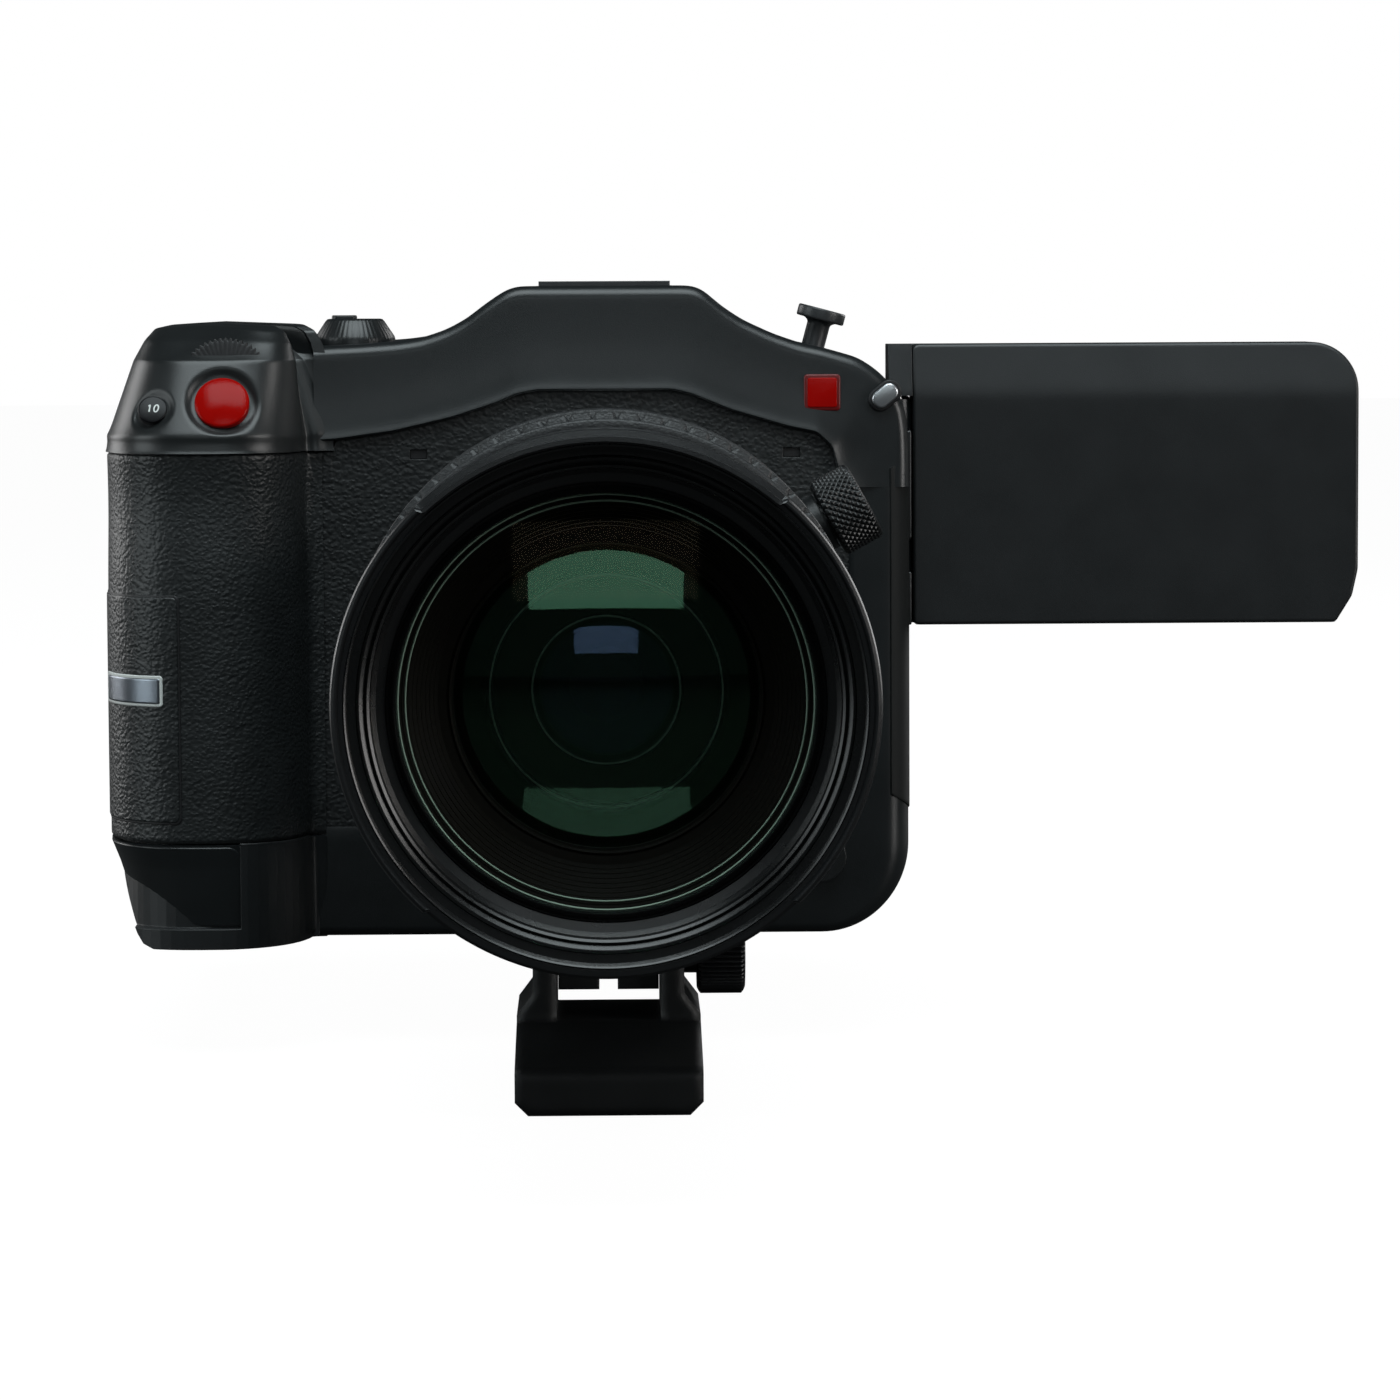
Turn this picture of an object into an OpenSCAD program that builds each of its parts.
/* [Body] */
// Distance from the lens axis to the right side of the body
body_right = 59.8; // [58.8:0.2:63]
// Distance from the lens axis to the joint with the grip
body_left = 57; // [56:0.5:60]
// Height of the hump above the lens axis
body_top = 66.4; // [65:0.2:70]
// Depth of the base below the lens axis
body_base = 61.4; // [60.6:0.2:64]
// Depth of the body from its front face to its back
body_depth = 102; // [100:1:108]
// Setback of the front face behind the lens flange
front_setback = 2; // [1.6:0.1:3]
// Wall of the casings
wall = 2.4; // [2:0.1:2.8]
// Height of the seam under the top cover, above the lens axis
seam_height = 26.7; // [25:0.5:29]
// Distance from the lens flange back to the seam between the front and rear casings
seam_back = 44; // [40:1:50]
// Radius of the lower corner of the body, seen from the front
base_corner = 17.4; // [14:0.2:19]
// Thickness of the rubber sheet on the front face
sheet_thick = 0.8; // [0.6:0.1:1.2]

/* [Grip] */
// Distance from the lens axis to the outer side of the grip
grip_out = 98.2; // [97:0.2:103]
// Distance from the lens flange forward to the nose of the grip
grip_nose = 16; // [14:0.5:17]
// Depth of the rounded nose of the grip
nose_depth = 28; // [24:1:32]
// Height of the seam between the grip and its head
head_low = 34.5; // [33:0.5:36]
// Height of the top of the grip head
head_top = 59.6; // [58:0.2:63]
// Depth of the bottom of the grip below the lens axis
grip_base = 61.6; // [61.4:0.2:65]
// Thickness of the rubber wrap of the grip
wrap_thick = 1.5; // [1.2:0.1:2]
// Depth below the lens axis at which the rubber wrap ends
wrap_low = 41; // [39:0.5:43]

/* [Buttons and dials] */
// Radius of the record button
rec_r = 5.25; // [4.8:0.05:5.6]
// Radius of the small numbered button
assign_r = 2.9; // [2.5:0.1:3.2]
// Travel of a front button
button_travel = 0.6; // [0.4:0.1:0.7]
// Radius of the front dial
front_dial_r = 8.9; // [8.5:0.1:9.2]
// Thickness of the front dial
front_dial_thick = 2.8; // [2.4:0.1:3]
// Radius of the power dial on the top
power_r = 6.5; // [6:0.1:7]
// Height of the power dial
power_high = 5.7; // [4.5:0.1:6.5]
// Radius of the selection dial on the back
rear_dial_r = 13; // [11:0.5:14]
// Thickness of the selection dial
rear_dial_thick = 2; // [1.6:0.1:2.6]
// Radius of a small button on the back
back_button_r = 3.2; // [2.6:0.1:3.6]

/* [Screen panel] */
// Length of the panel past its hinge arm
panel_long = 88.5; // [84:0.5:92]
// Height of the panel
panel_high = 55.6; // [52:0.2:58]
// Thickness of the panel
panel_thick = 12; // [11:0.2:12.4]
// Height of the top edge of the panel above the lens axis
panel_top = 54.6; // [54:0.2:56]
// Width of the hinge arm beside the panel
arm_wide = 4.2; // [4:0.1:5]
// Radius of the swing pins
swing_pin_r = 1.5; // [1.3:0.1:1.6]
// Radius of the tilt spigot
tilt_r = 2.5; // [2.2:0.1:2.5]

/* [Lens] */
// Length of the lens in front of its flange
lens_long = 199; // [196:1:204]
// Radius of the front rim
rim_r = 43.5; // [43:0.1:44]
// Radius inside the filter thread
filter_r = 41; // [40.5:0.1:41.2]
// Length of the filter thread
filter_long = 4.5; // [4:0.1:5]
// Radius of the barrel that the turning rings run on
barrel_r = 38.4; // [38:0.1:38.8]
// Radius of the zoom ring over its ribs
zoom_r = 44.6; // [44:0.1:45.4]
// Radius of the focus ring over its ribs
focus_r = 42.4; // [42:0.1:43]
// Radius of the throat of the lens mount
throat_r = 27; // [26.6:0.1:27.4]
// Radius of the mount ring
mount_r = 33; // [32:0.2:34]
// Radius of the front lens element
front_glass_r = 35.5; // [35:0.1:35.9]

/* [Collar and foot] */
// Height of the lens axis above the base of the foot
axis_height = 82.5; // [81.5:0.5:90]
// Distance from the lens flange forward to the tripod thread
thread_front = 56; // [54:0.5:60]
// Distance from the lens flange forward to the back of the collar
collar_back = 38.3; // [37:0.5:39]
// Length of the collar along the lens
collar_long = 23.4; // [22:0.2:24]
// Radius of the collar over its ring
collar_r = 42.6; // [42:0.1:44]
// Length of the foot along the lens
foot_long = 71; // [68:1:76]
// Width of the foot
foot_wide = 34; // [32:0.5:38]
// Thickness of the foot block
foot_thick = 13.5; // [12:0.5:15]
// Radius of the collar lock knob
lock_r = 7.5; // [7:0.1:8]
// Radius of the foot knob
foot_knob_r = 8; // [7.2:0.1:8.4]
// Radius of the small tripod thread, as cut
thread_r = 3.175; // [3.1:0.025:3.2]
// Radius of the large tripod thread, as cut
big_thread_r = 4.7625; // [4.7:0.0125:4.8]

/* [Hidden] */
$fn = 64;

// Shared clearances: running fit of turned pieces, slip fit of pieces set by hand, overrun of cuts
run_gap = 0.08;
slip_gap = 0.3;
seat_gap = 0.05;
side_gap = 0.3;
overrun = 1;
press_gap = 0.01;

// Faces of the body along the lens axis, measured back from the flange
front_face = front_setback;
back_face = front_setback + body_depth;

// Front view of the body as shares of its half widths and of its height
left_shares = [[1, 0.825], [0.84, 0.831], [0.71, 0.839], [0.63, 0.849], [0.545, 0.873],
  [0.477, 0.904], [0.404, 0.952], [0.337, 0.996], [0.312, 1]];
right_shares = [[0.294, 1], [0.319, 0.991], [0.386, 0.938], [0.453, 0.898], [0.552, 0.857],
  [0.638, 0.83], [0.716, 0.815], [0.832, 0.785], [0.891, 0.75], [0.926, 0.72], [0.963, 0.678],
  [0.983, 0.649], [0.995, 0.587], [1, 0.512]];
corner_steps = 8;
function body_outline(inset) = concat(
  [for (p = left_shares) [-p[0] * body_left + inset, p[1] * body_top - inset]],
  [for (p = right_shares) [p[0] * body_right - inset, p[1] * body_top - inset]],
  [for (i = [0 : corner_steps]) let (a = -90 * i / corner_steps)
    [body_right - base_corner + (base_corner - inset) * cos(a),
     base_corner - body_base + (base_corner - inset) * sin(a)]],
  [[-body_left + inset, inset - body_base]]);

// Plan of the body: rounded front right and back right corners
corner_wide = 4.5;
corner_deep = 7;
back_corner = 6;
function body_plan(inset) = concat(
  [[-body_left, front_face + inset]],
  [for (i = [0 : corner_steps]) let (a = 90 * i / corner_steps - 90)
    [body_right - corner_wide + (corner_wide - inset) * cos(a),
     front_face + corner_deep + (corner_deep - inset) * sin(a)]],
  [for (i = [0 : corner_steps]) let (a = 90 * i / corner_steps)
    [body_right - back_corner + (back_corner - inset) * cos(a),
     back_face - back_corner + (back_corner - inset) * sin(a)]],
  [[-body_left, back_face - inset]]);

// Side view of the hump: a slight lean at the front, a fall towards the back
lean_low_share = 0.68;
hump_lean = 2.4;
hump_flat = 58;
hump_fall_share = 0.8;
hump_side = [[front_face, -body_base - overrun], [front_face, body_top * lean_low_share],
  [front_face + hump_lean, body_top], [hump_flat, body_top],
  [back_face, body_top * hump_fall_share], [back_face, -body_base - overrun]];

// Space for the folded screen panel in the right side
hinge_inset = 1.9;
hinge_x = body_right - hinge_inset;
panel_wall = 7.4;
panel_front = front_face + panel_wall + 0.25 * wall;
hinge_reach = 3;
hinge_y = panel_front + hinge_reach;
fold_gap = 0.5;
panel_back = panel_front + panel_thick;
recess_x = hinge_x - (panel_back - hinge_y) - fold_gap;
recess_front = front_face + panel_wall;
panel_base = panel_top - panel_high;
recess_gap = 1.9;
recess_floor = panel_base - recess_gap;
arm_inset = 1.5;
arm_left = hinge_x - arm_inset;
arm_right = arm_left + arm_wide;
panel_left = arm_right + slip_gap;
panel_right = panel_left + panel_long;
panel_mid_y = panel_front + panel_thick / 2;
panel_mid_z = panel_top - panel_high / 2;

// Ears that carry the swing pins
ear_r = 3;
ear_high = 6;
ear_spread = 14;
ear_heights = [panel_mid_z - ear_spread - ear_high / 2, panel_mid_z + ear_spread - ear_high / 2];
ear_sweep = 4.3;
pin_long = 14;

// Plan and front view of the grip
nose_power = 2.6;
nose_side_gap = 0.7;
nose_half = (grip_out - body_left - nose_side_gap) / 2;
nose_x = -grip_out + nose_half;
nose_y = nose_depth - grip_nose;
nose_steps = 26;
nose_end = 360 - asin(pow((nose_y - front_face) / nose_depth, nose_power / 2));
grip_corner = 9;
function grip_plan(inset) = concat(
  [for (i = [0 : nose_steps]) let (a = 180 + (nose_end - 180) * i / nose_steps)
    [nose_x + (nose_half - inset) * sign(cos(a)) * pow(abs(cos(a)), 2 / nose_power),
     nose_y + (nose_depth - inset) * sign(sin(a)) * pow(abs(sin(a)), 2 / nose_power)]],
  [[-body_left, front_face], [-body_left, back_face]],
  [for (i = [0 : corner_steps]) let (a = 90 + 90 * i / corner_steps)
    [-grip_out + grip_corner + (grip_corner - inset) * cos(a),
     back_face - grip_corner + (grip_corner) * sin(a)]]);
grip_wide = grip_out - body_left;
grip_shares = [[0, 0.996], [0.4, 1], [0.76, 1], [0.81, 0.985], [0.84, 0.955], [0.862, 0.92],
  [0.9, 0.845], [0.945, 0.745], [0.98, 0.685], [1, 0.662]];
head_shares = [[1, 0], [1, 0.07], [0.945, 0.3], [0.905, 0.54], [0.865, 0.72], [0.81, 0.88],
  [0.77, 0.94], [0.72, 0.965], [0.6, 0.98], [0.13, 1], [0.058, 0.985], [0, 0.965]];
grip_outline = concat([[-body_left, head_low]],
  [for (p = grip_shares) [-body_left - p[0] * grip_wide, -p[1] * grip_base]],
  [[-grip_out, head_low]]);
head_high = head_top - head_low;
head_outline = concat([[-body_left, head_low]],
  [for (p = head_shares) [-body_left - p[0] * grip_wide, head_low + p[1] * head_high]]);
// Side view of the head: the button face leans back, and the deck above it leans further
rim_lip = 0.2;
rim_round = 2;
face_low = [-grip_nose + rim_lip, head_low + 0.16 * head_high];
face_high = [front_face - 0.64 * grip_nose, head_low + 0.705 * head_high];
deck_mid = [-0.06 * grip_nose, head_low + 0.87 * head_high];
deck_high = [0.38 * grip_nose, head_low + 0.97 * head_high];
head_side = [[-grip_nose + rim_round, head_low], [face_low[0], head_low + 0.08 * head_high],
  face_low, face_high, deck_mid, deck_high, [0.9 * grip_nose, head_top], [hump_flat, head_top],
  [back_face, head_low + 0.72 * head_high], [back_face, head_low]];
face_lean = atan2(face_high[0] - face_low[0], face_high[1] - face_low[1]);
rec_share = 0.45;
assign_share = 0.38;
rec_x = -(body_left + 0.41 * grip_wide);
assign_x = -(body_left + 0.735 * grip_wide);
front_dial_x = -(body_left + 0.4 * grip_wide);
function face_point(x, share) = [x, face_low[0] + share * (face_high[0] - face_low[0]),
  face_low[1] + share * (face_high[1] - face_low[1])];
rec_ring_r = rec_r * 1.3;
rec_ring_deep = 0.5;
rec_deep = 2.7;
rec_dome = 0.9;
assign_ring_r = assign_r * 1.26;
dial_back_gap = 0.35;
dial_setback = 1.7;
front_dial_front = face_high[0] + dial_setback;
dial_poke = 4.1;
front_dial_z = face_high[1] + dial_poke - front_dial_r;
knurl_count = 36;
knurl_r = 0.42;

// Battery bay and battery in the back of the grip
battery_wide = 35;
battery_high = 70;
battery_deep = 42;
battery_lip = 1.5;
battery_right = -body_left - wall - slip_gap;
battery_floor = 4;
battery_low = -grip_base + wall + battery_floor;

// Tops of the lens steps, measured forward from the flange
flange_thick = 2.6;
iris_back = 14;
iris_front = 24;
iris_seat_r = barrel_r - 2;
rear_r = 34;
collar_seat_r = barrel_r;
collar_front = collar_back + collar_long;
zoom_back = 86;
zoom_front = 124;
focus_back = 129;
focus_front = 160;
control_back = 164;
control_front = 178;
band_r = 41.5;
control_r = 42.2;
bore_r = barrel_r - 2.9;
tube_r = 31;
tube_wall = 2.6;
rim_back = control_front + slip_gap;
rim_seat_r = rim_r - 1.2;
thread_back = lens_long - filter_long;
glass_seat = 190;
glass_back = 180;
retainer_r = 33.4;
rib_count = 60;
rib_deep = 1.2;

// Collar tongue, foot and knobs
tongue_half = 9.3;
tongue_low = 63.5;
slot_half = 1.7;
slot_high = 8;
leg_thick = 4.4;
leg_top = 50;
leg_over = 2.3;
foot_back = 19;
foot_front = foot_back + foot_long;
foot_top = axis_height - foot_thick;
lock_angle = 28.8;
lock_high = 8;
lock_seat = 46.8;
lock_stem_r = 3;
knob_wide = 9;
knob_gap = 2.2;
knob_z = -57.7;
screw_r = 2.5;
thread_deep = 9;

module placed() translate([0, thread_front, axis_height]) children();
// A flat shape in x and z, extruded from front to back
module along_y(front, back) translate([0, back, 0]) rotate([90, 0, 0]) linear_extrude(back - front)
  children();
// A flat shape in y and z, extruded from left to right
module along_x(left, right) translate([left, 0, 0]) rotate([90, 0, 90]) linear_extrude(right - left)
  children();
// A box from its low corner to its high corner
module block(low, high) translate(low) cube(high - low);
// A disc on an axis along y
module disc_y(x, front, back, z, r) translate([x, back, z]) rotate([90, 0, 0])
  cylinder(h = back - front, r = r);
// A disc on an axis along z
module disc_z(x, y, low, high, r) translate([x, y, low]) cylinder(h = high - low, r = r);
// A disc on an axis along x
module disc_x(left, right, y, z, r) translate([left, y, z]) rotate([0, 90, 0])
  cylinder(h = right - left, r = r);
// A profile of radius and distance in front of the flange, turned about the lens axis
module turned(points) rotate([90, 0, 0]) rotate_extrude() polygon(points);
// A plain ring on the lens axis between two distances in front of the flange
module ring(back, front, outer, inner) turned([[inner, back], [outer, back], [outer, front],
  [inner, front]]);

module body_solid() intersection() {
  along_y(front_face, back_face) polygon(body_outline(0));
  translate([0, 0, -body_base - overrun]) linear_extrude(body_base + body_top + 2 * overrun)
    polygon(body_plan(0));
  along_x(-body_left - overrun, body_right + overrun) polygon(hump_side);
}
module screen_recess() block([recess_x, recess_front, recess_floor],
  [body_right + panel_long, back_face + overrun, body_top + overrun]);
hump_cut = 6;
module body_cavity() difference() {
  intersection() {
    along_y(front_face + sheet_thick + wall, back_face - wall) polygon(body_outline(wall));
    along_x(-body_left, body_right - wall) polygon([[front_face, -body_base],
      [front_face, body_top * lean_low_share], [front_face + hump_cut, body_top - wall],
      [hump_flat - wall, body_top - wall], [back_face, body_top * hump_fall_share - wall],
      [back_face, -body_base]]);
  }
  block([recess_x - wall, front_face, recess_floor - wall],
    [body_right + overrun, back_face + overrun, body_top + overrun]);
  block([-shoe_half - wall, shoe_y[0] - wall, shoe_floor - shoe_base - wall],
    [shoe_half + wall, shoe_y[1] + shoe_room + wall, body_top + overrun]);
  block([body_right - 4 * wall, front_face, -body_base],
    [body_right + overrun, recess_front + wall, body_top]);
}
module body_shell(front, back, low, high) intersection() {
  difference() {
    body_solid();
    screen_recess();
    body_cavity();
    disc_y(0, front_face - overrun, front_face + wall + 2 * overrun, 0, mount_r + seat_gap);
  }
  block([-body_left - overrun, front, low], [body_right + overrun, back, high]);
}
module hinge_ear(low) difference() {
  union() {
    disc_z(hinge_x, hinge_y, low, low + ear_high, ear_r);
    block([hinge_x - ear_r, recess_front - overrun / 4, low],
      [hinge_x + hinge_inset, hinge_y, low + ear_high]);
  }
  disc_z(hinge_x, hinge_y, low - overrun, low + ear_high + overrun, swing_pin_r + press_gap);
}

// Rubber sheet on the front face, as shares of the body's half widths and top
sheet_shares = [[-0.925, 0.55], [-0.726, 0.573], [-0.523, 0.613], [-0.37, 0.656], [-0.305, 0.68],
  [-0.234, 0.692], [0.2215, 0.692], [0.285, 0.678], [0.415, 0.63], [0.6, 0.581], [0.696, 0.563],
  [0.744, 0.52], [0.759, 0.46]];
sheet_side_share = 0.8;
sheet_low = 39.6;
function sheet_x(share) = share < 0 ? share * body_left : share * body_right;
module sheet_shape() difference() {
  polygon(concat([[-body_left + slip_gap, -sheet_low], [-body_left + slip_gap, 0.37 * body_top]],
    [for (p = sheet_shares) [sheet_x(p[0]), p[1] * body_top]],
    [[sheet_side_share * body_right, seam_height], [sheet_side_share * body_right, -sheet_low]]));
  circle(r = mount_r + seat_gap);
}
module sheet_pocket() along_y(front_face - overrun, front_face + sheet_thick) sheet_shape();

// Strip in the front right corner
strip_left = 55.8;
strip_low = -34.3;
strip_high = 31;
strip_back = 7;
module strip_pocket() block([strip_left, front_face - overrun, strip_low],
  [body_right + overrun, strip_back, strip_high]);
mic_x = 36.6;
mic_z = 33.6;
mic_wide = 3.4;
mic_high = 1.9;
mic_deep = 1.6;
module mic_slots(front, back, trim) for (side = [-1, 1])
  block([side * mic_x - mic_wide / 2 + trim, front, mic_z - mic_high / 2 + trim],
    [side * mic_x + mic_wide / 2 - trim, back, mic_z + mic_high / 2 - trim]);

module mount_screw_places() for (i = [0 : 3]) rotate([0, 45 + 90 * i, 0])
  translate([(mount_r + throat_r) / 2, 0, 0]) children();
screw_shank_r = 1;
screw_head_r = 1.7;
screw_head = 0.8;
screw_long = 5;
base_inset = 14;
base_thick = 1.4;
base_y = [front_face + base_inset, back_face - base_inset];
base_half = 38;
base_thread_y = 30;
base_boss_r = 9;
base_boss_high = 9;
module base_pocket() block([-base_half, base_y[0], -body_base - overrun],
  [base_half, base_y[1], -body_base + base_thick]);
release_x = 42;
release_z = -46;
release_r = 5;
release_out = 2.2;
release_deep = 6;

module front_shell() color("#23272a") placed() {
  difference() {
    body_shell(front_face - overrun, seam_back, -body_base - overrun, seam_height);
    sheet_pocket();
    strip_pocket();
    base_pocket();
    disc_z(0, base_thread_y, -body_base, -body_base + 2 * wall, base_boss_r + seat_gap);
    disc_y(release_x, front_face - overrun, front_face + release_deep, release_z,
      release_r + seat_gap);
    terminal_pocket();
  }
  hinge_ear(ear_heights[0]);
}
dial_z = -8;
dial_x = -32;
stick_z = 16;
stick_r = 4;
stick_neck_r = 2;
stick_out = 4;
menu_x = -8;
door_x = 8;
door_wide = 34;
door_low = -50;
door_high = 36;
door_thick = 2.2;
card_y = back_face - wall;
socket_y = [22, 72];
socket_low = -48;
socket_top = -10;
socket_cover = 2.2;
module rear_shell() color("#23272a") placed() difference() {
  body_shell(seam_back, back_face + overrun, -body_base - overrun, seam_height);
  base_pocket();
  disc_y(dial_x, back_face - wall - overrun, back_face + overrun, dial_z, stick_neck_r + slip_gap);
  disc_y(dial_x, back_face - wall - overrun, back_face + overrun, stick_z, stick_neck_r + slip_gap);
  disc_y(menu_x, back_face - wall - overrun, back_face + overrun, stick_z,
    back_button_r + seat_gap);
  block([door_x - slip_gap, back_face - door_thick - slip_gap, door_low - slip_gap],
    [door_x + door_wide + slip_gap, back_face + overrun, door_low + door_high + slip_gap]);
  block([door_x + wall, back_face - wall - overrun, door_low + wall],
    [door_x + door_wide - wall, back_face + overrun, door_low + door_high - wall]);
  terminal_pocket();
}
module terminal_pocket() block([body_right - socket_cover - slip_gap, socket_y[0] - slip_gap,
  socket_low - slip_gap], [body_right + overrun, socket_y[1] + slip_gap, socket_top + slip_gap]);
shoe_y = [22, 46];
shoe_half = 13.1;
shoe_base = 1.2;
shoe_rise = 0.95;
shoe_rail = 2.3;
shoe_lip = 1.3;
shoe_inner = 9.35;
shoe_floor = body_top + shoe_rise - shoe_rail - shoe_lip;
shoe_stop = 1.5;
shoe_room = 6;
hook_x = 41.1;
hook_y = 20;
hook_lean = 15;
hook_foot = 52.6;
power_x = -49.9;
power_y = 25;
power_seat = 54.4;
module top_cover() color("#262a2d") placed() {
  difference() {
    body_shell(front_face - overrun, back_face + overrun, seam_height, body_top + overrun);
    sheet_pocket();
    strip_pocket();
    mic_slots(front_face - overrun, front_face + sheet_thick + mic_deep, 0);
    disc_z(power_x, power_y, power_seat, body_top, power_r + slip_gap);
    disc_z(power_x, power_y, seam_height, body_top, stick_neck_r + run_gap);
    shoulder_lug(slip_gap);
    block([-shoe_half - seat_gap, shoe_y[0] - seat_gap, shoe_floor - shoe_base],
      [shoe_half + seat_gap, shoe_y[1] + seat_gap, body_top + overrun]);
    block([-shoe_inner, shoe_y[1], shoe_floor], [shoe_inner, shoe_y[1] + shoe_room, body_top + overrun]);
    badge_solid(-seat_gap);
  }
  hinge_ear(ear_heights[1]);
}
module base_plate() color("#2b2e30") placed() difference() {
  union() {
    block([-base_half + seat_gap, base_y[0] + seat_gap, -body_base],
      [base_half - seat_gap, base_y[1] - seat_gap, -body_base + base_thick]);
    disc_z(0, base_thread_y, -body_base, -body_base + base_boss_high, base_boss_r);
  }
  disc_z(0, base_thread_y, -body_base - overrun, -body_base + base_boss_high + overrun, thread_r);
}
module mount_ring() color("silver") placed() difference() {
  ring(-front_face - wall, 0, mount_r, throat_r);
  mount_screw_places() disc_y(0, -overrun, front_face + wall + overrun, 0, screw_shank_r + seat_gap);
  mount_screw_places() disc_y(0, -overrun, screw_head, 0, screw_head_r + seat_gap);
}
module mount_screws() color("silver") placed() mount_screw_places() {
  disc_y(0, 0.05 * screw_head, screw_head, 0, screw_head_r);
  disc_y(0, screw_head, screw_long, 0, screw_shank_r);
}
contact_half = 10;
contact_high = 5;
contact_pin_r = 0.55;
contact_out = 0.3;
contact_side = 5;
contact_y = [6.2, 9.5];
module contact_block() color("#1a1a1a") placed() {
  block([-contact_half, contact_y[0], -throat_r + wall],
    [contact_half, contact_y[1], -throat_r + wall + contact_high]);
  for (i = [-contact_side : contact_side]) disc_y(i * contact_half / (contact_side + 1),
    contact_y[0] - contact_out, contact_y[0], -throat_r + wall + contact_high / 2, contact_pin_r);
}
nd_half = 25;
nd_y = [9.5, 16.5];
sensor_half = [13.1, 6.9];
sensor_y = [17, 23];
nd_post = [24, 17];
post_r = 2;
module nd_filter_unit() color("#303336") placed() difference() {
  union() {
    block([-nd_half, nd_y[0], -nd_half], [nd_half, nd_y[1], nd_half]);
    for (x = [-1, 1], z = [-1, 1]) disc_y(x * nd_post[0], front_face + wall, nd_y[0],
      z * nd_post[1], post_r);
  }
  block([-sensor_half[0] - 2 * wall, nd_y[0] - overrun, -sensor_half[1] - 2 * wall],
    [sensor_half[0] + 2 * wall, nd_y[1] + overrun, sensor_half[1] + 2 * wall]);
}
module sensor_unit() color("#35506a") placed() {
  block([-nd_half, sensor_y[1] - wall, -nd_half], [nd_half, sensor_y[1], nd_half]);
  block([-sensor_half[0], sensor_y[0], -sensor_half[1]],
    [sensor_half[0], sensor_y[1] - wall, sensor_half[1]]);
  for (x = [-1, 1], z = [-1, 1]) disc_y(x * (nd_half - wall), nd_y[1], sensor_y[1] - wall,
    z * (nd_half - wall), wall / 2);
}
sink_y = [sensor_y[1], 39];
sink_half = 27;
fin_count = 9;
module heat_sink() color("silver") placed() {
  block([-sink_half, sink_y[0], -sink_half], [sink_half, sink_y[0] + wall, sink_half]);
  for (i = [0 : fin_count - 1]) let (z = -sink_half + i * (2 * sink_half - wall / 2) / (fin_count - 1))
    block([-sink_half, sink_y[0] + wall, z], [sink_half, sink_y[1], z + wall / 2]);
}
fan_y = [sink_y[1], 53];
fan_half = 22;
fan_bore = 20;
fan_hub_r = 7;
fan_shaft_r = 1.5;
module fan_housing() color("#1c1d1f") placed() {
  difference() {
    block([-fan_half, fan_y[0], -fan_half], [fan_half, fan_y[1], fan_half]);
    disc_y(0, fan_y[0] - overrun, fan_y[1] - wall, 0, fan_bore);
    for (i = [0 : 2]) rotate([0, 120 * i, 0]) block([fan_hub_r, fan_y[1] - 2 * wall, -fan_hub_r],
      [fan_bore - wall, fan_y[1] + overrun, fan_hub_r]);
  }
  disc_y(0, fan_y[0] + wall, fan_y[1] - wall, 0, fan_shaft_r);
}
blade_count = 7;
module fan_rotor() color("#2a2c2e") placed() difference() {
  union() {
    disc_y(0, fan_y[0] + wall / 2, fan_y[1] - 2 * wall, 0, fan_hub_r);
    for (i = [0 : blade_count - 1]) rotate([0, i * 360 / blade_count, 0])
      block([fan_hub_r - slip_gap, fan_y[0] + wall, -wall / 4],
        [fan_bore - overrun, fan_y[1] - 2 * wall - slip_gap, wall / 4]);
  }
  disc_y(0, fan_y[0] + wall - slip_gap, fan_y[1], 0, fan_shaft_r + run_gap);
}
post_long = 3;
board_y = fan_y[1] + post_long;
board_thick = 1.6;
chip_high = 2;
chip_half = 4.8;
chip_x_shares = [-1, 0, 0.87];
chip_z_shares = [-1, -0.28, 0.33];
module main_board() color("darkgreen") placed() {
  block([-body_left + 3 * wall, board_y, -body_base + 3 * wall],
    [recess_x - 2 * wall, board_y + board_thick, seam_height - wall]);
  for (x = chip_x_shares, z = chip_z_shares) translate([x * nd_half, board_y + board_thick, z * nd_half])
    block([-chip_half, 0, -chip_half], [chip_half, chip_high, chip_half]);
  for (x = [-1, 1], z = [-1, 1]) disc_y(x * (fan_half - wall), fan_y[1], board_y,
    z * (fan_half - wall), post_r);
}
module battery_box(trim, reach) block(
  [battery_right - battery_wide - trim, back_face - battery_deep - trim, battery_low - trim],
  [battery_right + trim, back_face + reach, battery_low + battery_high + trim]);
module battery() color("#1d1f21") placed() battery_box(0, battery_lip);
latch_x = battery_right - battery_wide / 2;
latch_rise = 9;
latch_z = battery_low + battery_high + latch_rise;
latch_half = 6;
latch_high = 3;
latch_deep = 4;
latch_out = 1;
latch_travel = 4;
module battery_latch() color("#3a3d40") placed() block([latch_x - latch_half,
  back_face - latch_deep + slip_gap, latch_z - latch_high],
  [latch_x + latch_half, back_face + latch_out, latch_z + latch_high]);
reader_deep = 26;
module card_reader() color("#4a4d50") placed() difference() {
  block([door_x + wall + slip_gap, board_y + board_thick + chip_high + slip_gap + wall,
    door_low + wall + slip_gap], [door_x + door_wide - wall - slip_gap,
    back_face - door_thick - 2 * slip_gap, door_low + door_high - wall - slip_gap]);
  for (i = [0, 1]) block([door_x + 2 * wall + i * door_wide / 2.4, back_face - reader_deep,
    door_low + 2 * wall], [door_x + wall * 3 + i * door_wide / 2.4, back_face + overrun,
    door_low + door_high - 2 * wall]);
}
door_pin_r = 0.9;
module card_door() color("#26292b") placed() block([door_x, back_face - door_thick, door_low],
  [door_x + door_wide, back_face, door_low + door_high]);
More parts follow.
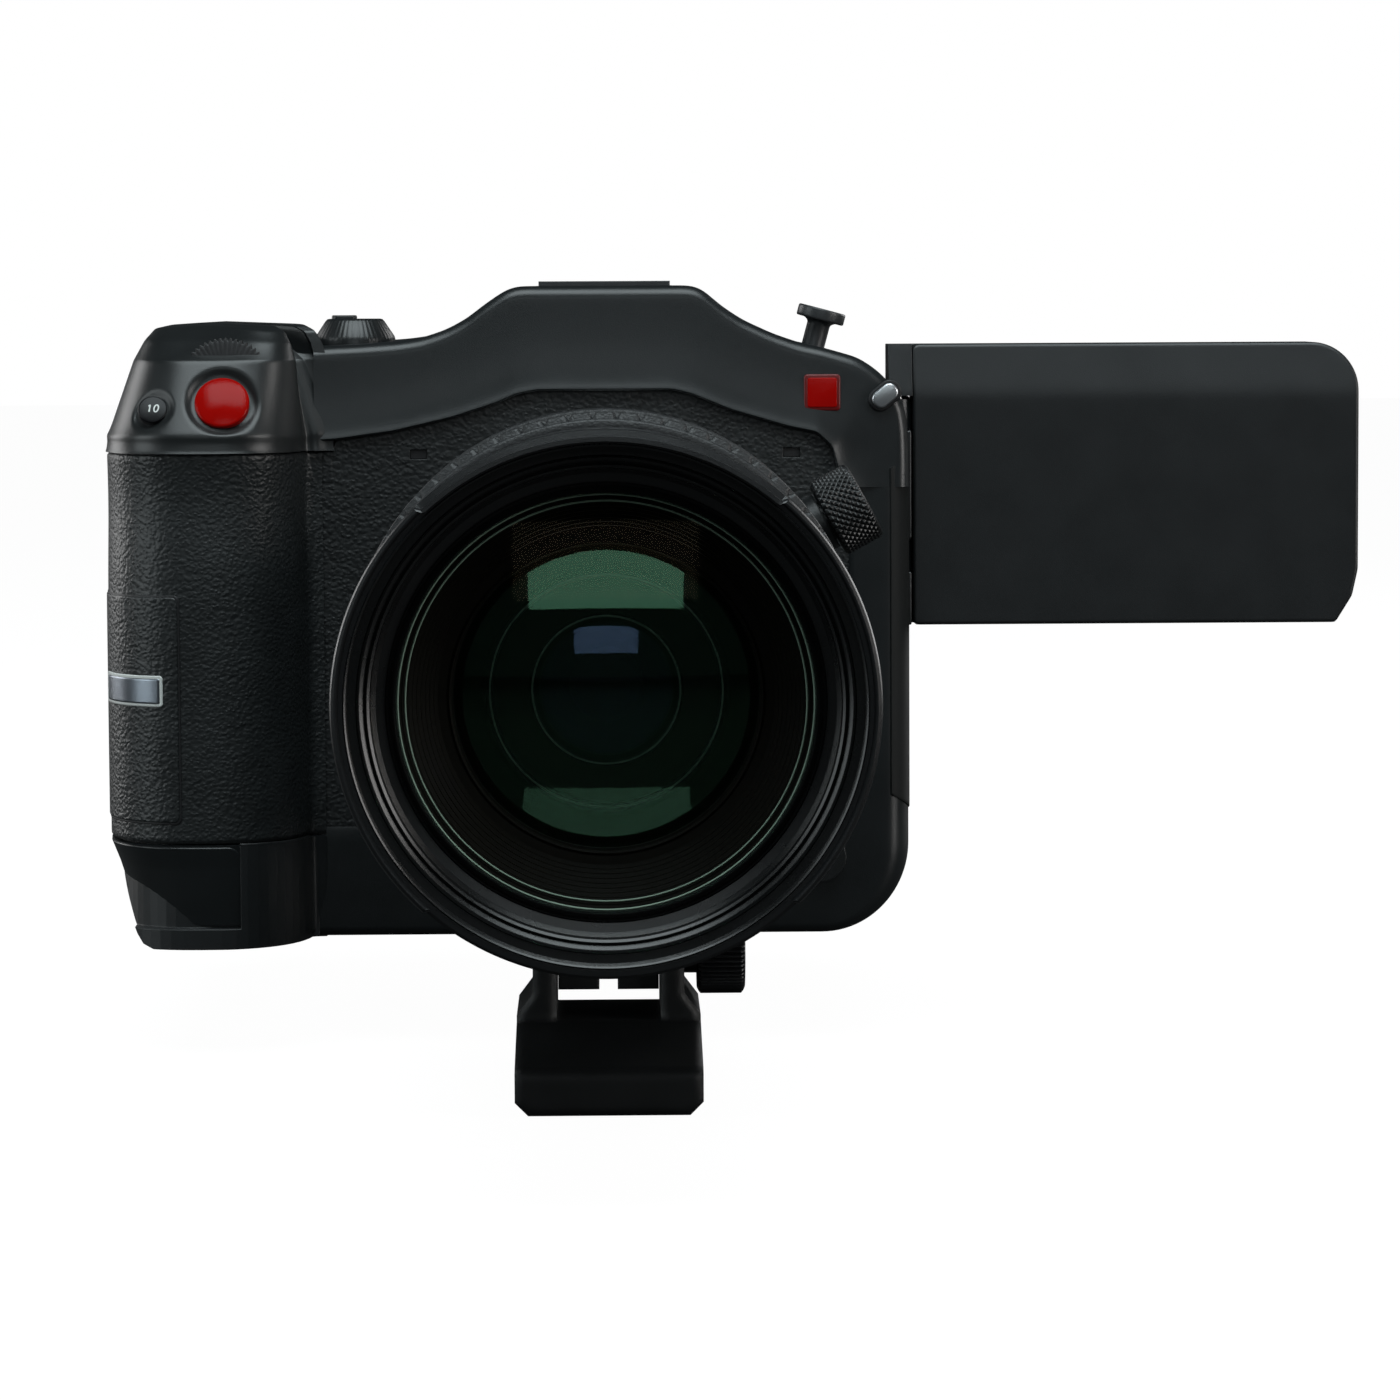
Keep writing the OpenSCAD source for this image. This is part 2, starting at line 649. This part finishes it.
module grip_solid(inset, low, high) intersection() {
  translate([0, 0, low]) linear_extrude(high - low) polygon(grip_plan(inset));
  along_y(-grip_nose - overrun, back_face + overrun) polygon(grip_outline);
}
wrap_back = 74;
plate_x = 82.5;
plate_low = -37;
plate_high = 7;
cover_low = 57.6;
cover_right = 71.2;
cover_thick = 2;
cover_back = nose_y;
module plate_region(trim) block([-grip_out - overrun, -grip_nose - overrun, plate_low + trim],
  [-plate_x - trim, nose_y, plate_high - trim]);
module cover_region(trim) block([-grip_out - overrun, -grip_nose - overrun, -cover_low + trim],
  [-cover_right - trim, cover_back - trim, -wrap_low - trim]);
grip_room = 5;
module grip_cavity() intersection() {
  translate([0, 0, -grip_base]) linear_extrude(grip_base + head_low + overrun)
    polygon(grip_plan(grip_room));
  along_y(-grip_nose, back_face - battery_deep - wall - slip_gap) polygon([
    [-grip_out, head_low + overrun], [-grip_out, -wrap_low],
    [-grip_out + 2 * grip_room, grip_room - grip_base], [-body_left - wall, grip_room - grip_base],
    [-body_left - wall, head_low + overrun]]);
}
module grip_shell() color("#202427") placed() difference() {
  union() {
    grip_solid(wrap_thick, -wrap_low, head_low);
    grip_solid(0, -grip_base - overrun, -wrap_low);
    intersection() {
      grip_solid(0, -wrap_low, head_low);
      block([-grip_out - overrun, wrap_back, -wrap_low], [-body_left, back_face + overrun, head_low]);
    }
  }
  battery_box(slip_gap, overrun);
  latch_pocket();
  cover_pocket();
  grip_cavity();
}
module latch_pocket() block([latch_x - latch_half - slip_gap, back_face - latch_deep,
  latch_z - latch_high - slip_gap], [latch_x + latch_half + latch_travel + slip_gap,
  back_face + overrun, latch_z + latch_high + slip_gap]);
module cover_pocket() intersection() {
  cover_region(0);
  translate([0, 0, -grip_base]) linear_extrude(grip_base) difference() {
    polygon(grip_plan(-overrun));
    polygon(grip_plan(cover_thick + slip_gap));
  }
}
module wrap_ring(low, high) intersection() {
  translate([0, 0, low]) linear_extrude(high - low) difference() {
    polygon(grip_plan(0));
    polygon(grip_plan(wrap_thick));
  }
  along_y(-grip_nose - overrun, wrap_back) polygon(grip_outline);
}
module grip_rubber() color("#1b1f22") placed() difference() {
  wrap_ring(-wrap_low, head_low);
  plate_region(0);
}
window_x = 86;
window_z = [-14, -8.7];
bar_share = 0.4;
module window_region(trim) block([-grip_out - overrun, -grip_nose - overrun, window_z[0] + trim],
  [-window_x - trim, 0, window_z[1] - trim]);
module strap_plate() color("#1e2225") placed() difference() {
  intersection() {
    wrap_ring(plate_low, plate_high);
    plate_region(side_gap / 2);
  }
  window_region(0);
}
module strap_bar() color("silver") placed() intersection() {
  window_region(seat_gap);
  translate([0, 0, plate_low]) linear_extrude(plate_high - plate_low) difference() {
    polygon(grip_plan(bar_share * wrap_thick));
    polygon(grip_plan(wrap_thick));
  }
}
module timecode_cover() color("#1f2326") placed() intersection() {
  cover_region(side_gap);
  along_y(-grip_nose - overrun, cover_back) polygon(grip_outline);
  translate([0, 0, -grip_base]) linear_extrude(grip_base) difference() {
    polygon(grip_plan(0));
    polygon(grip_plan(cover_thick));
  }
}
head_wall = 3;
module head_solid() intersection() {
  translate([0, 0, head_low]) linear_extrude(head_high + overrun) polygon(grip_plan(0));
  along_y(-grip_nose - overrun, back_face + overrun) polygon(head_outline);
  along_x(-grip_out - overrun, -body_left) polygon(head_side);
}
// Places children on the button face with z pointing out of it
module on_face(x, share) translate(face_point(x, share)) rotate([90 - face_lean, 0, 0]) children();
module grip_head() color("#22262a") placed() difference() {
  head_solid();
  on_face(rec_x, rec_share) translate([0, 0, -rec_ring_deep]) cylinder(h = overrun * 4, r = rec_ring_r);
  on_face(rec_x, rec_share) translate([0, 0, -rec_deep]) cylinder(h = rec_deep, r = rec_r + run_gap);
  on_face(assign_x, assign_share) translate([0, 0, -rec_ring_deep])
    cylinder(h = overrun * 4, r = assign_ring_r);
  on_face(assign_x, assign_share) translate([0, 0, -rec_deep])
    cylinder(h = rec_deep, r = assign_r + run_gap);
  disc_y(front_dial_x, front_dial_front - dial_back_gap,
    front_dial_front + front_dial_thick + dial_back_gap, front_dial_z, front_dial_r + slip_gap + knurl_r);
  disc_y(front_dial_x, front_dial_front, front_dial_front + 2 * front_dial_thick, front_dial_z,
    fan_shaft_r + run_gap);
  side_lug(slip_gap);
  block([-grip_out + 3 * head_wall, nose_y, head_low - overrun],
    [-body_left - head_wall, back_face - head_wall, head_top - 2.6 * head_wall]);
}
sheet_share = 0.4;
module front_rubber() color("#1b1f22") placed() difference() {
  along_y(front_face + sheet_share * sheet_thick, front_face + sheet_thick) sheet_shape();
  mic_slots(front_face - overrun, front_face + 2 * overrun, 0);
  disc_y(release_x, front_face - overrun, front_face + release_deep, release_z,
    release_r + slip_gap);
}
module microphones() color("#0c0c0c") placed() mic_slots(front_face + sheet_thick,
  front_face + sheet_thick + mic_deep, seat_gap);
module side_strip() color("#17191b") placed() intersection() {
  translate([0, 0, strip_low + side_gap]) linear_extrude(strip_high - strip_low - 2 * side_gap)
    polygon(body_plan(2 * side_gap));
  block([strip_left + seat_gap, front_face, strip_low], [body_right, strip_back, strip_high]);
}
module terminal_door() color("#1d2022") placed() block([body_right - socket_cover, socket_y[0],
  socket_low], [body_right, socket_y[1], socket_top]);
badge_x = 42.6;
badge_z = 45.3;
badge_side = 7.2;
badge_thick = 0.6;
module badge_solid(trim) along_y(front_face - badge_thick / 2 + trim, front_face + badge_thick)
  translate([badge_x - badge_side / 2 + trim, badge_z - badge_side / 2 + trim])
  square(badge_side - 2 * trim);
module badge_plate() color("#b3141c") placed() badge_solid(0);
module accessory_shoe() color("#2c2f31") placed() {
  block([-shoe_half, shoe_y[0], shoe_floor - shoe_base], [shoe_half, shoe_y[1], shoe_floor]);
  block([-shoe_half, shoe_y[0], shoe_floor], [shoe_half, shoe_y[0] + shoe_stop, body_top + shoe_rise]);
  for (side = [-1, 1]) {
    block([min(side * shoe_half, side * shoe_inner), shoe_y[0], shoe_floor],
      [max(side * shoe_half, side * shoe_inner), shoe_y[1], shoe_floor + shoe_rail]);
    block([min(side * shoe_half, side * (shoe_inner - shoe_lip)), shoe_y[0],
      shoe_floor + shoe_rail], [max(side * shoe_half, side * (shoe_inner - shoe_lip)), shoe_y[1],
      body_top + shoe_rise]);
  }
}
hook_stem_r = 2.4;
hook_disc_r = 4.8;
hook_disc_thick = 2.3;
hook_long = 7;
module tape_hook() color("#2f3234") placed() difference() {
  translate([hook_x, hook_y, hook_foot - overrun]) rotate([0, hook_lean, 0]) {
    cylinder(h = hook_long + overrun, r = hook_stem_r);
    translate([0, 0, hook_long + overrun]) cylinder(h = hook_disc_thick, r = hook_disc_r);
  }
  body_solid();
}
// Strap lugs: rounded bars set in pockets of the right shoulder and of the left side of the head
lug_x = 55;
lug_z = 44.7;
lug_lean = 39;
lug_half = 2.7;
lug_thick = 3.5;
lug_long = 6;
lug_round = 1.2;
side_lug_x = 98.2;
side_lug_z = 40.4;
side_lug_y = 24;
side_lug_lean = 23;
side_lug_half = 1.4;
module lug_bar(half, long, trim) intersection() {
  block([-half - trim, -trim / 2, -lug_thick / 2 - trim], [half + trim, long, lug_thick / 2 + trim]);
  translate([-half + lug_round, 0, 0]) disc_y(0, -overrun, long + overrun, 0, lug_thick / 2 + trim
    + lug_round * 2.2);
}
module shoulder_lug(trim) translate([lug_x, front_face + slip_gap, lug_z]) rotate([0, -lug_lean, 0])
  lug_bar(lug_half, lug_long, trim);
module side_lug(trim) translate([-side_lug_x, side_lug_y, side_lug_z]) rotate([0, side_lug_lean, 0])
  lug_bar(side_lug_half, lug_long, trim);
module strap_lugs() color("#c8cacc") placed() {
  shoulder_lug(0);
  side_lug(0);
}
dome_share = 0.8;
module rec_button() color("#c2181c") placed() on_face(rec_x, rec_share) {
  translate([0, 0, -rec_deep + button_travel + seat_gap])
    cylinder(h = rec_deep - button_travel - seat_gap, r = rec_r);
  cylinder(h = rec_dome, r1 = rec_r, r2 = dome_share * rec_r, $fn = 48);
}
module assign_button() color("#0d0e0f") placed() on_face(assign_x, assign_share)
  translate([0, 0, -rec_deep + button_travel + seat_gap])
  cylinder(h = rec_deep - button_travel - seat_gap + rec_ring_deep / 5, r = assign_r);
dial_bevel = 0.2;
module front_dial() color("#1a1c1e") placed() translate([front_dial_x, 0, front_dial_z]) {
  disc_y(0, front_dial_front, front_dial_front + front_dial_thick, 0, front_dial_r);
  for (i = [0 : knurl_count - 1]) rotate([0, i * 360 / knurl_count, 0])
    disc_y(front_dial_r, front_dial_front + dial_bevel, front_dial_front
      + front_dial_thick - dial_bevel, 0, knurl_r);
  disc_y(0, front_dial_front, front_dial_front + 2 * front_dial_thick - dial_bevel, 0, fan_shaft_r);
}
lever_half = 2.3;
lever_high = 0.7;
module power_dial() color("#202326") placed() {
  disc_z(power_x, power_y, power_seat + seat_gap, power_seat + power_high, power_r);
  disc_z(power_x, power_y, power_seat - power_high, power_seat + overrun, stick_neck_r);
  block([power_x - 2 * lever_half, power_y - lever_half, power_seat + power_high - overrun],
    [power_x, power_y + lever_half, power_seat + power_high + lever_high]);
}
module joystick() color("#1c1e20") placed() {
  disc_y(dial_x, back_face - wall, back_face + stick_out - wall / 2, stick_z, stick_neck_r);
  disc_y(dial_x, back_face + stick_out - wall / 2, back_face + stick_out, stick_z, stick_r);
}
module rear_dial() color("#1c1e20") placed() {
  disc_y(dial_x, back_face + slip_gap, back_face + slip_gap + rear_dial_thick, dial_z, rear_dial_r);
  disc_y(dial_x, back_face - wall, back_face + overrun, dial_z, stick_neck_r);
}
menu_out = 1.2;
module menu_button() color("#2a2c2e") placed() disc_y(menu_x, back_face - wall,
  back_face + menu_out, stick_z, back_button_r);
module lens_release_button() color("#26292b") placed() disc_y(release_x,
  front_face - release_out, front_face + release_deep - button_travel * 3, release_z, release_r);

// Screen panel: hinge arm, pins, back cover, bezel and screen
module lcd_arm() color("#1d2022") placed() difference() {
  block([arm_left, panel_front, panel_base], [arm_right, panel_back, panel_top]);
  for (low = ear_heights) {
    disc_z(hinge_x, hinge_y, low - slip_gap, low + ear_high + slip_gap, ear_sweep);
    disc_z(hinge_x, hinge_y, low + (ear_high - pin_long) / 2 - slip_gap,
      low + (ear_high + pin_long) / 2 + slip_gap, swing_pin_r + run_gap);
  }
  disc_x(arm_left + arm_inset / 2, arm_right + overrun, panel_mid_y, panel_mid_z, tilt_r + run_gap);
}
module lcd_hinge_pins() color("silver") placed() for (low = ear_heights)
  disc_z(hinge_x, hinge_y, low + (ear_high - pin_long) / 2, low + (ear_high + pin_long) / 2,
    swing_pin_r);
panel_corner = 9.2;
cut_wide_share = 0.05;
cut_mid_share = 0.013;
cut_high_share = 0.19;
panel_outline = concat([[panel_left, panel_base],
    [panel_right - cut_wide_share * panel_long, panel_base],
    [panel_right - cut_mid_share * panel_long, panel_base + cut_high_share * panel_high / 2],
    [panel_right, panel_base + cut_high_share * panel_high]],
  [for (i = [0 : corner_steps]) let (a = 90 * i / corner_steps)
    [panel_right - panel_corner + panel_corner * cos(a),
     panel_top - panel_corner + panel_corner * sin(a)]],
  [[panel_left, panel_top]]);
crease_share = 0.173;
band_deep = 3.6;
cover_split = 7.4;
panel_side = [[panel_front, panel_base + band_deep / 4], [panel_front + band_deep / 4, panel_base],
  [panel_back, panel_base], [panel_back, panel_top], [panel_front + band_deep, panel_top],
  [panel_front, panel_top - crease_share * panel_high]];
module panel_slab(front, back) intersection() {
  along_y(front, back) polygon(panel_outline);
  along_x(panel_left - overrun, panel_right + overrun) polygon(panel_side);
}
frame_edge = 6;
frame_side = 6;
screen_thick = 3;
screen_sink = 0.4;
screen_x = [panel_left + frame_side, panel_right - frame_side];
screen_z = [panel_base + frame_edge, panel_top - frame_edge];
module lcd_back_cover() color("#22262a") placed() difference() {
  union() {
    panel_slab(panel_front, panel_front + cover_split);
    disc_x(arm_left + arm_inset, panel_left + frame_side, panel_mid_y, panel_mid_z, tilt_r);
    block([panel_left, panel_mid_y, panel_mid_z - 2 * tilt_r],
      [panel_left + frame_side - seat_gap, panel_front + cover_split, panel_mid_z + 2 * tilt_r]);
  }
  block([screen_x[0], panel_front + wall, screen_z[0]],
    [screen_x[1], panel_front + cover_split + overrun, screen_z[1]]);
}
module lcd_bezel() color("#1a1c1e") placed() difference() {
  panel_slab(panel_front + cover_split, panel_back);
  block([screen_x[0], panel_front, screen_z[0]], [screen_x[1], panel_back + overrun, screen_z[1]]);
  disc_x(arm_left, panel_left + frame_side + overrun, panel_mid_y, panel_mid_z, tilt_r + run_gap);
}
module lcd_screen() color("#0b0d10") placed() {
  block([screen_x[0], panel_back - screen_sink - screen_thick, screen_z[0]],
    [screen_x[1], panel_back - screen_sink, screen_z[1]]);
}

// Lens: mount, barrel, turning rings, optics
bayonet_long = 5;
bayonet_wall = 2.2;
rear_baffle = 8;
cone_step = 1;
band_slope = 2;
module lens_mount() color("silver") placed() {
  ring(0, flange_thick, mount_r, throat_r - bayonet_wall);
  ring(-bayonet_long, 0, throat_r - run_gap, throat_r - bayonet_wall);
}
module lens_barrel() color("#1c1e20") placed() turned([
  [bore_r - rear_baffle, flange_thick], [rear_r, flange_thick], [barrel_r - cone_step, iris_back],
  [iris_seat_r, iris_back], [iris_seat_r, iris_front], [collar_seat_r, iris_front],
  [collar_seat_r, collar_front + slip_gap], [band_r, collar_front + slip_gap + band_slope],
  [band_r, zoom_back], [barrel_r, zoom_back], [barrel_r, zoom_front], [band_r, zoom_front],
  [band_r, focus_back], [barrel_r, focus_back], [barrel_r, focus_front], [band_r, focus_front],
  [band_r, control_back], [barrel_r, control_back], [barrel_r, control_front],
  [bore_r, control_front], [bore_r, flange_thick + wall],
  [bore_r - rear_baffle, flange_thick + wall]]);
// Places of the rings that carry the inner tube, and radii and places of the steps behind the front glass
stop_backs = [30, 100, 168];
stop_long = 7;
tube_front = 160;
step_r = [18.9, 20.8, 24.8, 26.6, 33];
step_front = [162.5, 171.5, 174.5, 177];
module optics_tube() color("#0e0f10") placed() {
  ring(flange_thick + wall, tube_front, tube_r, tube_r - tube_wall);
  for (m = stop_backs) ring(m, m + stop_long, bore_r - seat_gap, tube_r - seat_gap);
  turned([[tube_r - tube_wall, tube_front], [bore_r - seat_gap, tube_front],
    [bore_r - seat_gap, step_front[3]], [step_r[4], step_front[3]], [step_r[3], step_front[2]],
    [step_r[2], step_front[2]], [step_r[2], step_front[1]], [step_r[1], step_front[0]],
    [step_r[0], step_front[0]], [step_r[0], tube_front]]);
}
groove_share = 0.5;
rib_inset = 3;
rib_root = 0.5;
module ribs(back, front, outer, count) difference() {
  ring(back, front, outer, outer - rib_deep - rib_root);
  for (i = [0 : count - 1]) rotate([0, i * 360 / count, 0])
    block([outer - rib_deep, -front - overrun, -outer * groove_share * PI / count],
      [outer + overrun, -back + overrun, outer * groove_share * PI / count]);
}
module turning_ring(back, front, outer, seat, count) {
  ring(back + side_gap, front - side_gap, outer - rib_deep, seat + run_gap);
  ribs(back + rib_inset, front - rib_inset, outer, count);
}
iris_high = 1.4;
iris_rib_count = 48;
module iris_ring() color("#191b1d") placed() turning_ring(iris_back, iris_front,
  barrel_r + iris_high, iris_seat_r, iris_rib_count);
module zoom_ring() color("#191b1d") placed() turning_ring(zoom_back, zoom_front, zoom_r, barrel_r,
  rib_count);
module focus_ring() color("#191b1d") placed() turning_ring(focus_back, focus_front, focus_r,
  barrel_r, rib_count);
module control_ring() color("#191b1d") placed() turning_ring(control_back, control_front,
  control_r, barrel_r, rib_count);
// Front barrel: thread, shoulder and the seat of the front glass
rim_chamfer = 0.8;
flare_back = 6;
flare_front = 9;
shoulder_wide = 1.8;
shoulder_deep = 1.6;
seat_front = 1;
retainer_thick = 1.2;
module front_barrel() color("#202325") placed() turned([
  [bore_r, rim_back], [rim_seat_r, rim_back], [rim_seat_r, rim_back + flare_back],
  [rim_r, rim_back + flare_front], [rim_r, lens_long - rim_chamfer],
  [rim_r - rim_chamfer, lens_long], [filter_r, lens_long], [filter_r, thread_back],
  [filter_r - shoulder_wide, thread_back], [filter_r - shoulder_wide, thread_back - shoulder_deep],
  [filter_r - 2 * shoulder_wide, thread_back - shoulder_deep],
  [filter_r - 2 * shoulder_wide, glass_seat + seat_front], [retainer_r, glass_seat],
  [retainer_r, glass_seat - retainer_thick],
  [front_glass_r + seat_gap, glass_seat - retainer_thick],
  [front_glass_r + seat_gap, glass_back], [bore_r, glass_back]]);
// A dished glass: rim radius, back and front planes at the rim, bulges of the two faces
arc_steps = 10;
function bulge(r, rim, high) = high * (1 - pow(r / rim, 2));
module glass(rim, back, front, back_bulge, front_bulge) turned(concat(
  [for (i = [0 : arc_steps]) let (r = rim * i / arc_steps) [r, back - bulge(r, rim, back_bulge)]],
  [for (i = [arc_steps : -1 : 0]) let (r = rim * i / arc_steps)
    [r, front + bulge(r, rim, front_bulge)]]));
front_bulge = 5.2;
back_hollow = -4;
module front_glass() color([0.5, 0.6, 0.6, 0.5]) placed() difference() {
  glass(front_glass_r, glass_back, glass_seat - retainer_thick - seat_gap, back_hollow, front_bulge);
  ring(glass_seat - retainer_thick - 2 * seat_gap, glass_seat + 2 * front_bulge,
    front_glass_r + overrun, retainer_r - seat_gap);
}
focus_glass = [140, 146, 3, 4];
relay_glass = [10, 14, 2, 2];
cell_gap = 0.5;
rear_glass_r = throat_r - bayonet_wall - rim_round;
module inner_glass() color([0.5, 0.6, 0.6, 0.5]) placed() {
  glass(tube_r - tube_wall - seat_gap, focus_glass[0], focus_glass[1], focus_glass[2],
    focus_glass[3]);
  glass(tube_r - tube_wall - seat_gap, relay_glass[0], relay_glass[1], relay_glass[2],
    relay_glass[3]);
}
// Zoom group: a middle glass in a cell that slides in the tube
group_back = 60;
group_long = 12;
group_wall = 3;
group_glass = [63, 69, 2, 2];
zoom_slide = 12;
module zoom_group() color("#26282a") placed() {
  difference() {
    ring(group_back, group_back + group_long, tube_r - tube_wall - run_gap,
      tube_r - tube_wall - group_wall);
  }
  glass(tube_r - tube_wall - group_wall + seat_gap, group_glass[0], group_glass[1], group_glass[2],
    group_glass[3]);
}
iris_open = 16;
iris_unit_back = 98;
iris_unit_long = 8;
module iris_unit() color("#151617") placed() ring(iris_unit_back, iris_unit_back + iris_unit_long,
  tube_r - tube_wall - seat_gap, iris_open);

// Collar, foot and knobs
boss_sink = 3;
boss_step = 2;
stem_sink = 2;
stem_end = collar_r - stem_sink;
collar_y = -collar_back - collar_long / 2;
module collar_ring() color("#1e2022") placed() difference() {
  union() {
    ring(collar_back, collar_front, collar_r, collar_seat_r + run_gap);
    intersection() {
      block([-tongue_half, -collar_front, -tongue_low], [tongue_half, -collar_back, 0]);
      ring(collar_back, collar_front, 2 * collar_r, collar_seat_r + run_gap);
    }
    rotate([0, -lock_angle, 0]) intersection() {
      disc_x(collar_r - boss_sink, lock_seat, collar_y, 0, lock_r - boss_step);
      ring(collar_back, collar_front, 2 * collar_r, collar_seat_r + run_gap);
    }
  }
  block([-slot_half, -collar_front - overrun, -tongue_low - overrun],
    [slot_half, -collar_back + overrun, -tongue_low + slot_high]);
  rotate([0, -lock_angle, 0]) disc_x(stem_end, lock_seat + overrun, collar_y, 0,
    lock_stem_r + run_gap);
  disc_x(-tongue_half - overrun, tongue_half + overrun, collar_y, knob_z, screw_r + run_gap);
}
knob_grooves = 40;
groove_r = 0.45;
groove_out = 0.15;
module knurled(high, r, count) difference() {
  cylinder(h = high, r = r);
  for (i = [0 : count - 1]) rotate([0, 0, i * 360 / count]) translate([r + groove_out, 0, -overrun])
    cylinder(h = high + 2 * overrun, r = groove_r, $fn = 16);
}
module collar_knob() color("#222426") placed() rotate([0, -lock_angle, 0])
  translate([0, collar_y, 0]) rotate([0, 90, 0]) {
    translate([0, 0, lock_seat + side_gap]) knurled(lock_high, lock_r, knob_grooves);
    translate([0, 0, stem_end + side_gap]) cylinder(h = lock_seat - stem_end + overrun,
      r = lock_stem_r);
  }
leg_flare = 5;
leg_left = tongue_half + slip_gap;
flange_lift = 1;
back_drop = 4.5;
back_flat = 8;
front_drop = 6;
front_flat = 2;
foot_side = [[-foot_front, -axis_height], [-foot_back, -axis_height],
  [-foot_back, -foot_top - back_drop], [-foot_back - back_flat, -foot_top - back_drop + flange_lift],
  [-collar_back + leg_over, -foot_top], [-collar_front - leg_over, -foot_top],
  [-foot_front + front_flat, -foot_top - front_drop + flange_lift],
  [-foot_front, -foot_top - front_drop]];
foot_chamfer = 2.4;
half_foot = foot_wide / 2;
foot_shape = [[-half_foot, foot_chamfer - axis_height], [foot_chamfer - half_foot, -axis_height],
  [half_foot - foot_chamfer, -axis_height], [half_foot, foot_chamfer - axis_height],
  [half_foot, -foot_top], [-half_foot, -foot_top]];
module leg(side) along_y(-collar_front - leg_over, -collar_back + leg_over)
  polygon([for (p = [[leg_left, -foot_top - overrun], [half_foot, -foot_top - overrun],
    [half_foot, -foot_top + overrun], [leg_left + leg_thick, -foot_top + leg_flare],
    [leg_left + leg_thick, -leg_top], [leg_left, -leg_top]]) [side * p[0], p[1]]]);
big_thread_front = 76;
big_thread_deep = 7.2;
foot_knob_grooves = 60;
neck_step = 3;
module tripod_foot() color("#1d1f21") placed() difference() {
  union() {
    intersection() {
      along_y(-foot_front, -foot_back) polygon(foot_shape);
      along_x(-half_foot, half_foot) polygon(foot_side);
    }
    leg(-1);
    leg(1);
  }
  disc_z(0, -thread_front, -axis_height - overrun, -axis_height + thread_deep, thread_r);
  disc_z(0, -big_thread_front, -axis_height - overrun, -axis_height + big_thread_deep,
    big_thread_r);
  disc_x(-half_foot, half_foot, collar_y, knob_z, screw_r + run_gap);
}
module foot_knob() color("#222426") placed()
  translate([leg_left + leg_thick + side_gap, collar_y, knob_z]) rotate([0, 90, 0]) {
    translate([0, 0, knob_gap]) knurled(knob_wide, foot_knob_r, foot_knob_grooves);
    cylinder(h = knob_gap + overrun, r = foot_knob_r - neck_step);
    translate([0, 0, -leg_left - leg_thick - tongue_half]) cylinder(
      h = leg_left + leg_thick + tongue_half + overrun, r = screw_r);
  }

front_shell();
rear_shell();
top_cover();
base_plate();
mount_ring();
mount_screws();
contact_block();
nd_filter_unit();
sensor_unit();
heat_sink();
fan_housing();
fan_rotor();
main_board();
battery();
battery_latch();
card_reader();
card_door();
grip_shell();
grip_rubber();
grip_head();
front_rubber();
strap_plate();
strap_bar();
timecode_cover();
accessory_shoe();
tape_hook();
strap_lugs();
badge_plate();
rec_button();
assign_button();
front_dial();
power_dial();
joystick();
rear_dial();
menu_button();
lens_release_button();
lcd_arm();
lcd_hinge_pins();
lcd_back_cover();
lcd_bezel();
lcd_screen();
side_strip();
terminal_door();
microphones();
lens_mount();
lens_barrel();
optics_tube();
iris_ring();
zoom_ring();
focus_ring();
control_ring();
front_barrel();
front_glass();
inner_glass();
zoom_group();
iris_unit();
collar_ring();
collar_knob();
tripod_foot();
foot_knob();
